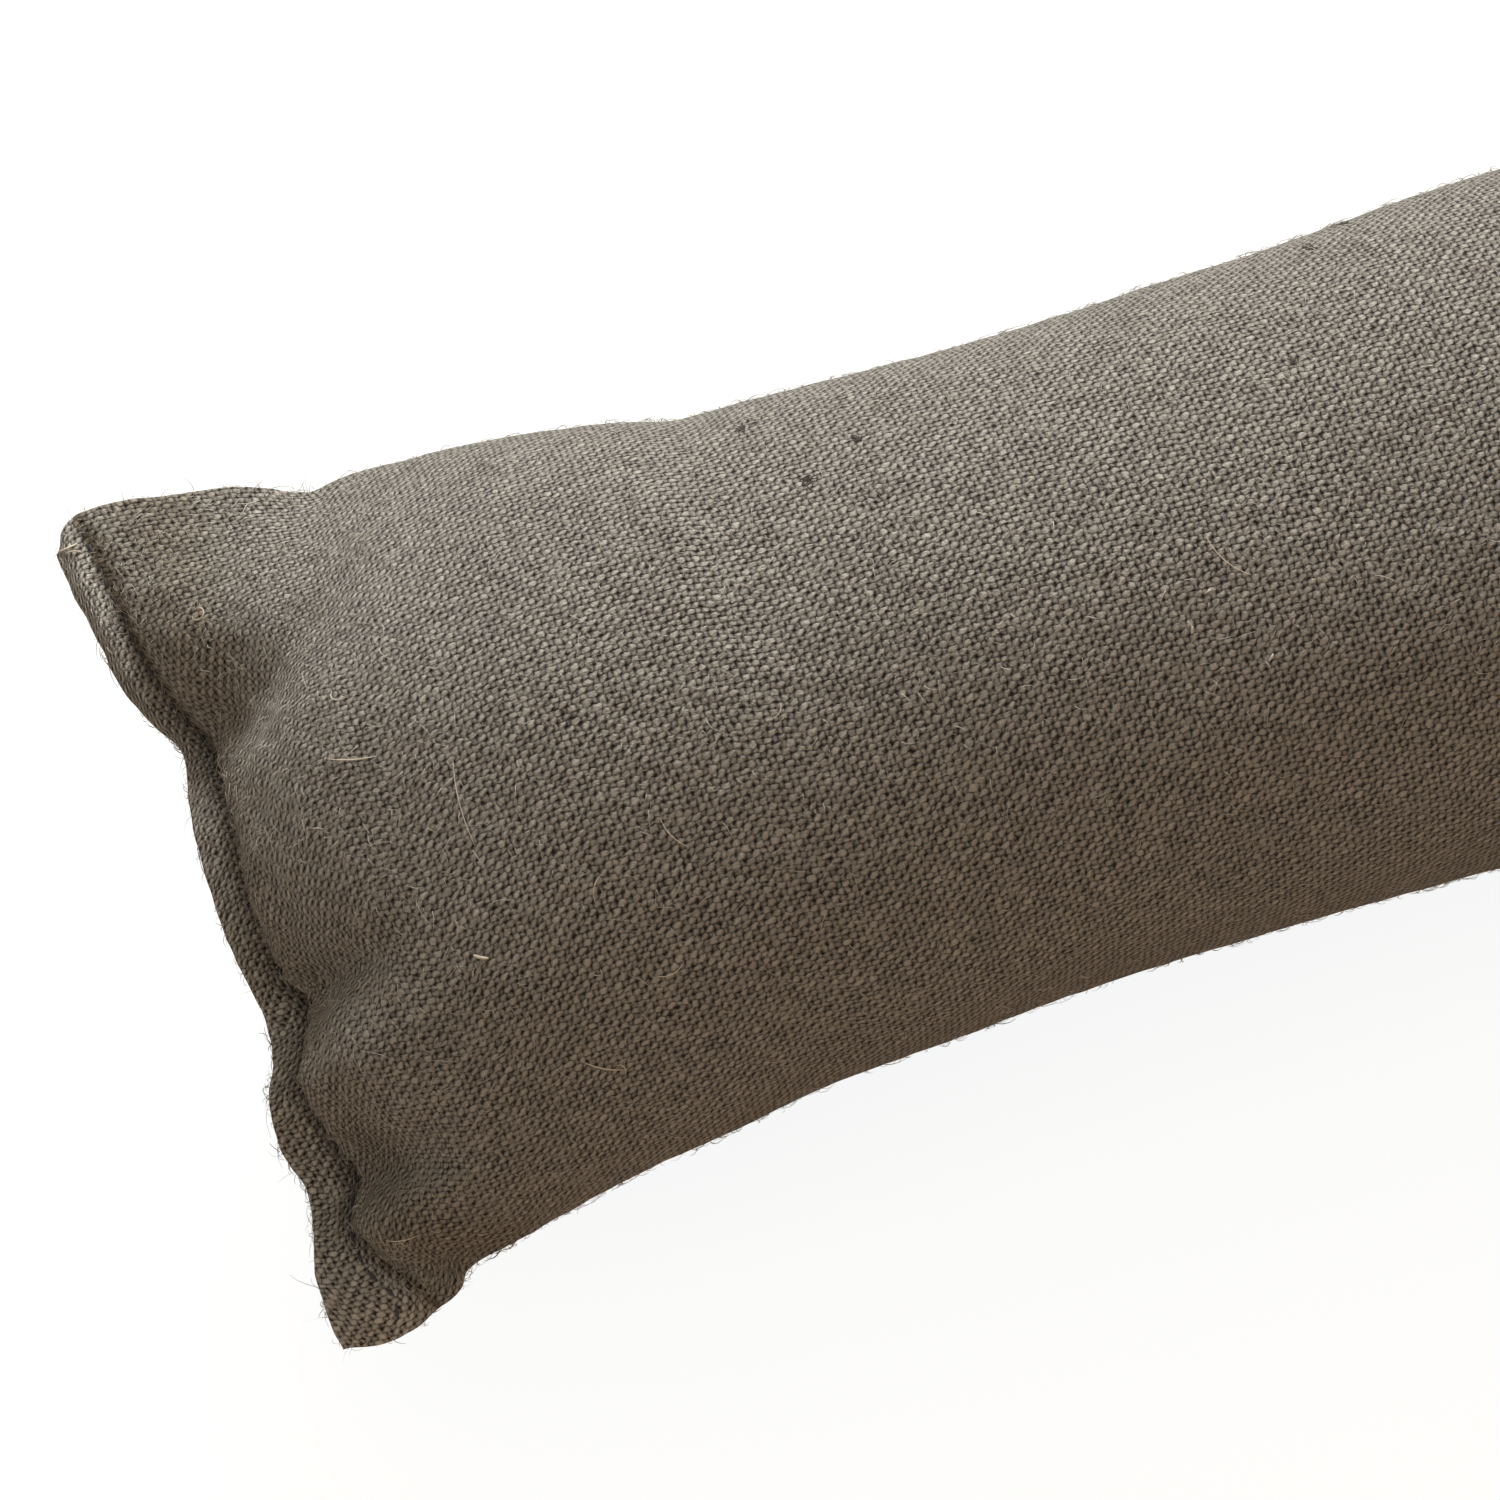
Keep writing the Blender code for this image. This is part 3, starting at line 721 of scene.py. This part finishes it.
def make_stitches(material):
    """Both ends' top-stitches, above and below: short threads that dip into the cloth at each end."""
    chance = np.random.default_rng(21)
    vertices, faces = [], []
    for end in (LEFT, RIGHT):
        across = STITCH_LIMITS[0]
        while across < STITCH_LIMITS[1]:
            length = STITCH_LENGTH * chance.uniform(*STITCH_VARIETY)
            drift = chance.uniform(-STITCH_DRIFT, STITCH_DRIFT)
            for side in (1, -1):
                path, radii = [], []
                for step in np.linspace(0.0, 1.0, STITCH_STEPS):
                    place = -end.facing * (across + length * step)
                    inset = float(stitch_inset(end, place)) + drift * (step - 0.5) * 2
                    point = flange_point(end, place, inset, side)
                    arch = math.sin(math.pi * step)
                    point[2] += side * STITCH_RADIUS * (STITCH_RISE * arch**0.7 - STITCH_SINK)
                    path.append(point)
                    radii.append(STITCH_RADIUS * (0.5 + 0.5 * arch**0.5))
                thin_tube(path, radii, STITCH_SIDES, vertices, faces)
            across += length + STITCH_GAP
    return new_object("top_stitches", vertices, faces, material)


def lie_on(tree, x, y, above):
    """The height of the cover's upper face at a place, plus a little."""
    hit = tree.ray_cast(Vector((x * MM, y * MM, LENGTH * MM)), Vector((0, 0, -1)))[0]
    return above if hit is None else hit.z / MM + above


def bent_path(start, heading, length, bend, steps):
    """A level curve of a given length that turns evenly through an angle in degrees."""
    x, y = start
    angle = math.radians(heading - bend / 2)
    points = [(x, y)]
    for _ in range(steps):
        x += math.cos(angle) * length / steps
        y += math.sin(angle) * length / steps
        points.append((x, y))
        angle += math.radians(bend) / steps
    middle = np.mean(points, axis=0)
    return np.array(points) - middle + start


def make_loose_fibres(tree, material):
    """The few long fibres and white bits that lie on the cloth."""
    vertices, faces = [], []
    for fibre in named_rows(FIBRE_COLUMNS, FIBRES):
        start = (fibre["inset"] - LENGTH / 2, fibre["across"])
        flat = bent_path(start, fibre["heading"], fibre["length"], fibre["bend"], FIBRE_STEPS)
        lift = np.sin(np.linspace(0, math.pi, len(flat))) * fibre["stand"] + fibre["thickness"] / 2
        path = [(x, y, lie_on(tree, x, y, above)) for (x, y), above in zip(flat, lift)]
        taper = np.sin(np.linspace(0.25, math.pi - 0.25, len(flat))) ** 0.5
        thin_tube(path, taper * fibre["thickness"] / 2, FIBRE_SIDES, vertices, faces)
    return new_object("loose_fibres", vertices, faces, material)


def make_tangles(tree, material):
    """Dark fibres wound up in small flat tangles."""
    chance = np.random.default_rng(55)
    vertices, faces = [], []
    for tangle in named_rows(TANGLE_COLUMNS, TANGLES):
        for _ in range(TANGLE_FIBRES):
            offset = chance.normal(scale=tangle["size"] / 4, size=2)
            start = (tangle["inset"] - LENGTH / 2 + offset[0], tangle["across"] + offset[1])
            length = tangle["size"] * chance.uniform(0.5, 1.2)
            heading, bend = chance.uniform(0, 360), chance.uniform(-150, 150)
            flat = bent_path(start, heading, length, bend, TANGLE_STEPS)
            lift = chance.uniform(0.0, 0.12)
            path = [(x, y, lie_on(tree, x, y, lift)) for x, y in flat]
            radii = np.full(len(path), chance.uniform(0.06, 0.14))
            thin_tube(path, radii, TANGLE_SIDES, vertices, faces)
    return new_object("dark_tangles", vertices, faces, material)


def polygon_values(mesh, name, width):
    """One of the values that a mesh keeps for each face, as an array with a row for each face."""
    values = np.zeros(len(mesh.polygons) * width, dtype=np.float32)
    mesh.polygons.foreach_get(name, values)
    return values.reshape(-1, width).astype(float)


def make_fuzz(cover, strip, material):
    """Short fibres that stand out of the yarns, thicker in some places than in others."""
    chance = np.random.default_rng(strip["seed"])
    count = strip["count"]
    centres = polygon_values(cover.data, "center", 3) / MM
    normals = polygon_values(cover.data, "normal", 3)
    inset = centres[:, 0] + LENGTH / 2
    weights = polygon_values(cover.data, "area", 1)[:, 0]
    weights = weights * (centres[:, 2] > FUZZ_LOWEST) * (inset >= strip["first"]) * (inset < strip["last"])
    clumps = [noise.noise(Vector(centre) / FUZZ_CLUMP) if weight else 0.0 for centre, weight in zip(centres, weights)]
    weights = weights * np.exp(FUZZ_CLUMPING * np.array(clumps))
    picked = chance.choice(len(weights), count, p=weights / weights.sum())
    normal = normals[picked]
    way = chance.normal(size=(count, 3))
    way -= normal * np.sum(way * normal, axis=1, keepdims=True)
    way /= np.linalg.norm(way, axis=1, keepdims=True)
    turn = np.cross(normal, way)
    length, curl, stand, radius, shift, slide = (
        value[:, None, None]
        for value in (
            chance.gamma(*FUZZ_LENGTH_CURVE, count) + FUZZ_SHORTEST,
            chance.normal(scale=FUZZ_CURL, size=count),
            chance.uniform(0.2, 1.0, count) * strip["stand"],
            np.minimum(FUZZ_THINNEST + chance.gamma(*FUZZ_RADIUS_CURVE, count), FUZZ_THICKEST),
            chance.uniform(-1.2, 1.2, count),
            chance.uniform(-0.8, 0.8, count),
        )
    )
    steps = np.linspace(0.0, 1.0, FUZZ_STEPS)[None, :, None]
    normal, way, turn = normal[:, None], way[:, None], turn[:, None]
    path = centres[picked][:, None] + way * (shift + length * steps) + turn * (slide + length * curl * steps**2)
    arch = np.sin(math.pi * steps * 0.8) * np.minimum(length, FUZZ_LONGEST_STAND) * 0.6
    path = path + normal * (0.1 + stand * arch)
    angles = (2 * math.pi * np.arange(FUZZ_SIDES) / FUZZ_SIDES)[None, None, :, None]
    spokes = np.cos(angles) * turn[:, :, None] + np.sin(angles) * normal[:, :, None]
    taper = radius * (1.0 - FUZZ_TAPER * steps)
    vertices = path[:, :, None] + taper[..., None] * spokes
    vertices[..., 2] = np.maximum(vertices[..., 2], 0.05)
    index = np.arange(count * FUZZ_STEPS * FUZZ_SIDES).reshape(count, FUZZ_STEPS, FUZZ_SIDES)
    after = np.roll(index, -1, axis=2)
    faces = np.stack([index[:, :-1], after[:, :-1], after[:, 1:], index[:, 1:]], 3).reshape(-1, 4).tolist()
    faces += index[:, 0, ::-1].tolist() + index[:, -1].tolist()
    return new_object(strip["name"], vertices.reshape(-1, 3), faces, material)


# Building materials from formulas

class Field:
    """A number that varies over a surface, so that node trees read as formulas."""

    def __init__(self, maker, socket):
        self.maker, self.socket = maker, socket

    def __add__(self, other):
        return self.maker.math("ADD", self, other)

    def __sub__(self, other):
        return self.maker.math("SUBTRACT", self, other)

    def __mul__(self, other):
        return self.maker.math("MULTIPLY", self, other)

    def __truediv__(self, other):
        return self.maker.math("DIVIDE", self, other)

    def __rsub__(self, other):
        return self.maker.math("SUBTRACT", other, self)


class Maker:
    """Makes one material's nodes."""

    def __init__(self, name):
        self.material = bpy.data.materials.new(name)
        self.material.use_nodes = True
        self.tree = self.material.node_tree
        self.shader = self.tree.nodes["Principled BSDF"]

    def node(self, kind, **settings):
        """Adds a node of a kind, with its settings."""
        made = self.tree.nodes.new("ShaderNode" + kind)
        for name, value in settings.items():
            setattr(made, name, value)
        return made

    def feed(self, socket, value):
        """Joins a field or another node's output to a socket, or sets the socket's own value."""
        if isinstance(value, Field):
            value = value.socket
        if isinstance(value, bpy.types.NodeSocket):
            self.tree.links.new(value, socket)
        else:
            socket.default_value = value

    def math(self, operation, *values):
        made = self.node("Math", operation=operation)
        for i, value in enumerate(values):
            self.feed(made.inputs[i], value)
        return Field(self, made.outputs[0])

    def vector(self, x, y, z=0.0):
        made = self.node("CombineXYZ")
        for socket, value in zip(made.inputs, (x, y, z)):
            self.feed(socket, value)
        return made.outputs[0]

    def shifted(self, vector, offset):
        made = self.node("VectorMath", operation="ADD")
        self.feed(made.inputs[0], vector)
        made.inputs[1].default_value = (offset, offset, offset)
        return made.outputs[0]

    def scaled(self, colour, factor):
        made = self.node("VectorMath", operation="SCALE")
        self.feed(made.inputs[0], colour)
        self.feed(made.inputs["Scale"], factor)
        return made.outputs[0]

    def tinted(self, colour, tint):
        made = self.node("VectorMath", operation="MULTIPLY")
        self.feed(made.inputs[0], colour)
        self.feed(made.inputs[1], tint)
        return made.outputs[0]

    def noise(self, vector, scale, detail=2.0, roughness=0.5):
        made = self.node("TexNoise")
        self.feed(made.inputs["Vector"], vector)
        made.inputs["Scale"].default_value = scale
        made.inputs["Detail"].default_value = detail
        made.inputs["Roughness"].default_value = roughness
        return Field(self, made.outputs[0])

    def chance(self, vector):
        made = self.node("TexWhiteNoise", noise_dimensions="2D")
        self.feed(made.inputs["Vector"], vector)
        return Field(self, made.outputs["Value"])

    def ease(self, value, low, high):
        made = self.node("MapRange", interpolation_type="SMOOTHSTEP")
        for socket, number in zip(made.inputs, (value, low, high)):
            self.feed(socket, number)
        return Field(self, made.outputs[0])

    def mix(self, share, first, second):
        made = self.node("Mix", data_type="RGBA")
        self.feed(made.inputs[0], share)
        self.feed(made.inputs[6], first)
        self.feed(made.inputs[7], second)
        return made.outputs[2]

    def bump(self, height, distance):
        made = self.node("Bump")
        self.feed(made.inputs["Height"], height)
        made.inputs["Distance"].default_value = distance
        return made.outputs[0]

    def shade(self, **values):
        for name, value in values.items():
            self.feed(self.shader.inputs[name.replace("_", " ")], value)
        return self.material


def make_cloth_material():
    """Coarse plain weave of uneven grey-brown yarns."""
    make = Maker("coarse_weave")
    yarns = make.node("Attribute", attribute_name="yarns")
    parts = make.node("SeparateXYZ")
    make.feed(parts.inputs[0], yarns.outputs["Vector"])
    place = make.node("TexCoord").outputs["Object"]
    along, around, crease = (Field(make, part) for part in parts.outputs)

    # The yarns wander a little, and their edges are frayed
    drift = make.noise(place, 150.0, 3.0, 0.65) - 0.5
    stray = make.noise(make.shifted(place, 3.7), 170.0, 3.0, 0.65) - 0.5
    fray = make.noise(make.shifted(place, 7.3), 800.0, 2.0, 0.6) - 0.5
    ruffle = make.noise(make.shifted(place, 9.1), 800.0, 2.0, 0.6) - 0.5
    along = along + drift * WANDER + fray * FRAY
    around = around + stray * WANDER + ruffle * FRAY
    row, column = make.math("FLOOR", along), make.math("FLOOR", around)
    in_row, in_column = along - row - 0.5, around - column - 0.5

    # Yarns along the tube are counted around it, and yarns around the tube along it
    long_girth = make.noise(make.vector(along * 0.21, column * 3.7), 1.0, 2.0) * 0.44 + 0.33
    round_girth = make.noise(make.vector(row * 3.3, around * 0.21, 7.0), 1.0, 2.0) * 0.40 + 0.21
    odd_row = make.math("FLOORED_MODULO", row, 2.0) * -2.0 + 1.0
    odd_column = make.math("FLOORED_MODULO", column, 2.0) * -2.0 + 1.0
    wave_along = make.math("SINE", (along + in_column * 0.45) * math.pi) * odd_column
    wave_around = make.math("SINE", around * math.pi) * odd_row

    def yarn(offset, girth, wave, lie):
        """The height of a round yarn that dips under and over the ones that it crosses."""
        ratio = offset / girth
        body = make.math("SQRT", make.math("MAXIMUM", 1.0 - ratio * ratio, 0.0))
        return body * girth * 1.3 + wave * lie

    long_yarn = yarn(in_column, long_girth, wave_along, 0.50)
    round_yarn = yarn(in_row, round_girth, wave_around * -1.0, 0.28)
    height = make.math("MAXIMUM", long_yarn, round_yarn)

    # Each yarn's twist, and fine fuzz all over
    slant = make.vector(along * 1.6 + around * 2.6, around * 0.9 - along * 0.7)
    twist = make.noise(slant, 1.0, 2.0, 0.6)
    fuzz = make.noise(place, 2600.0, 3.0, 0.65)
    height = height + (twist - 0.5) * 0.75 + (fuzz - 0.5) * 0.35

    # Colour: painted shade in the gaps between yarns, darkest where the weave lies lowest, lighter crowns, each yarn
    # and each crossing a little different
    crown = make.ease(height, *CROWN_LIMITS)
    crossing = make.chance(make.vector(row, column))
    shade = make.mix(crown, PAINTED_GAP_SHADE, CROWN_COLOUR)
    patch = make.noise(place, 34.0, 3.0, 0.6)
    tone = (crossing - 0.5) * 0.32 + (patch - 0.5) * 0.22 + (fuzz - 0.5) * 0.6 + 1.0
    # Painted shade in the crease and band beside each seam, tinted brown like warm bounced light, and painted light
    # on the flanges
    tone = tone * (1.0 - crease * PAINTED_SHADE_STRENGTH)
    tint = make.mix(crease, (1.0, 1.0, 1.0, 1.0), PAINTED_SHADE_TINT)
    return make.shade(
        Base_Color=make.tinted(make.scaled(shade, tone), tint),
        Roughness=0.95,
        Sheen_Weight=0.22,
        Sheen_Roughness=0.5,
        Specular_IOR_Level=0.12,
        Normal=make.bump(height, WEAVE_RELIEF),
    )


def make_thread_material():
    """Dark blue-grey sewing thread with a fine twist."""
    make = Maker("sewing_thread")
    place = make.node("TexCoord").outputs["Object"]
    strands = make.noise(place, 2400.0, 2.0)
    shade = make.mix(strands, *THREAD_COLOURS)
    return make.shade(Base_Color=shade, Roughness=0.6, Normal=make.bump(strands, 0.0002))


def make_fibre_material(name, colours):
    """Matt fibres, each a little lighter or darker along its length."""
    make = Maker(name)
    place = make.node("TexCoord").outputs["Object"]
    shade = make.mix(make.noise(place, 90.0, 2.0), *colours)
    return make.shade(Base_Color=shade, Roughness=0.7)


def make_floor():
    """A plain pale floor, well past the view on all sides. Its faint glow keeps it pale and lights nothing else."""
    half = FLOOR_HALF_SIDE
    corners = [(x, y, -FLOOR_DEPTH) for x, y in ((-half, -half), (half, -half), (half, half), (-half, half))]
    make = Maker("pale_floor")
    make.shade(
        Base_Color=FLOOR_COLOUR,
        Roughness=0.9,
        Emission_Color=FLOOR_GLOW,
        Emission_Strength=1.0,
    )
    floor = new_object("floor", corners, [(0, 1, 2, 3)], make.material)
    itself = bpy.data.collections.new("floor_only")
    itself.objects.link(floor)
    floor.light_linking.receiver_collection = itself


def make_window():
    """A soft distant light. Its direction points from the tube to the light."""
    lamp = bpy.data.lights.new("window", "SUN")
    lamp.energy = WINDOW_STRENGTH
    lamp.color = WINDOW_COLOUR
    lamp.angle = math.radians(WINDOW_ANGLE)
    window = bpy.data.objects.new("window", lamp)
    window.rotation_mode = "QUATERNION"
    window.rotation_quaternion = Vector(WINDOW_DIRECTION).to_track_quat("Z", "Y")
    bpy.context.scene.collection.objects.link(window)


def make_room():
    """The light of a room that is warmer and dimmer on the near side."""
    world = bpy.data.worlds.new("room")
    bpy.context.scene.world = world
    world.use_nodes = True
    tree = world.node_tree
    place = tree.nodes.new("ShaderNodeTexCoord")
    lean = tree.nodes.new("ShaderNodeVectorMath")
    lean.operation = "DOT_PRODUCT"
    lean.inputs[1].default_value = ROOM_DIRECTION
    share = tree.nodes.new("ShaderNodeMapRange")
    share.interpolation_type = "SMOOTHSTEP"
    share.inputs["From Min"].default_value, share.inputs["From Max"].default_value = ROOM_LIMITS
    mix = tree.nodes.new("ShaderNodeMix")
    mix.data_type = "RGBA"
    mix.inputs[6].default_value = ROOM_DIM_COLOUR
    mix.inputs[7].default_value = ROOM_BRIGHT_COLOUR
    tree.links.new(place.outputs["Generated"], lean.inputs[0])
    tree.links.new(lean.outputs["Value"], share.inputs["Value"])
    tree.links.new(share.outputs[0], mix.inputs[0])
    tree.links.new(mix.outputs[2], tree.nodes["Background"].inputs["Color"])


def make_camera():
    """The photograph's view."""
    elevation, yaw = math.radians(CAMERA_ELEVATION), math.radians(CAMERA_YAW)
    view = Vector((
        -math.sin(yaw) * math.cos(elevation),
        math.cos(yaw) * math.cos(elevation),
        -math.sin(elevation),
    ))
    right = Vector((math.cos(yaw), math.sin(yaw), 0))
    up = right.cross(view)
    turn = Matrix((right, up, -view)).transposed().to_4x4()
    data = bpy.data.cameras.new("camera")
    data.sensor_width = SENSOR_WIDTH
    data.lens = FOCAL_PIXELS / IMAGE_SIDE * SENSOR_WIDTH
    data.clip_start = 0.01
    data.clip_end = 20.0
    camera = bpy.data.objects.new("camera", data)
    camera.matrix_world = Matrix.Translation(Vector(CAMERA_TARGET) - view * CAMERA_DISTANCE) @ turn
    bpy.context.scene.collection.objects.link(camera)
    bpy.context.scene.camera = camera


bpy.context.scene.view_settings.view_transform = "Standard"
make_camera()
make_room()
make_window()
make_floor()
cover = make_cover(make_cloth_material())
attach(cover, "root")
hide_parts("cover")
cover_tree = BVHTree.FromObject(cover, bpy.context.evaluated_depsgraph_get())
pale_fibre = make_fibre_material("pale_fibre", PALE_COLOURS)
grey_fibre = make_fibre_material("grey_fibre", GREY_COLOURS)
dark_fibre = make_fibre_material("dark_fibre", DARK_COLOURS)
for piece in (
    make_stitches(make_thread_material()),
    make_loose_fibres(cover_tree, pale_fibre),
    make_tangles(cover_tree, dark_fibre),
    *(make_fuzz(cover, strip, grey_fibre) for strip in named_rows(FUZZ_COLUMNS, FUZZ)),
):
    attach(piece, "root")
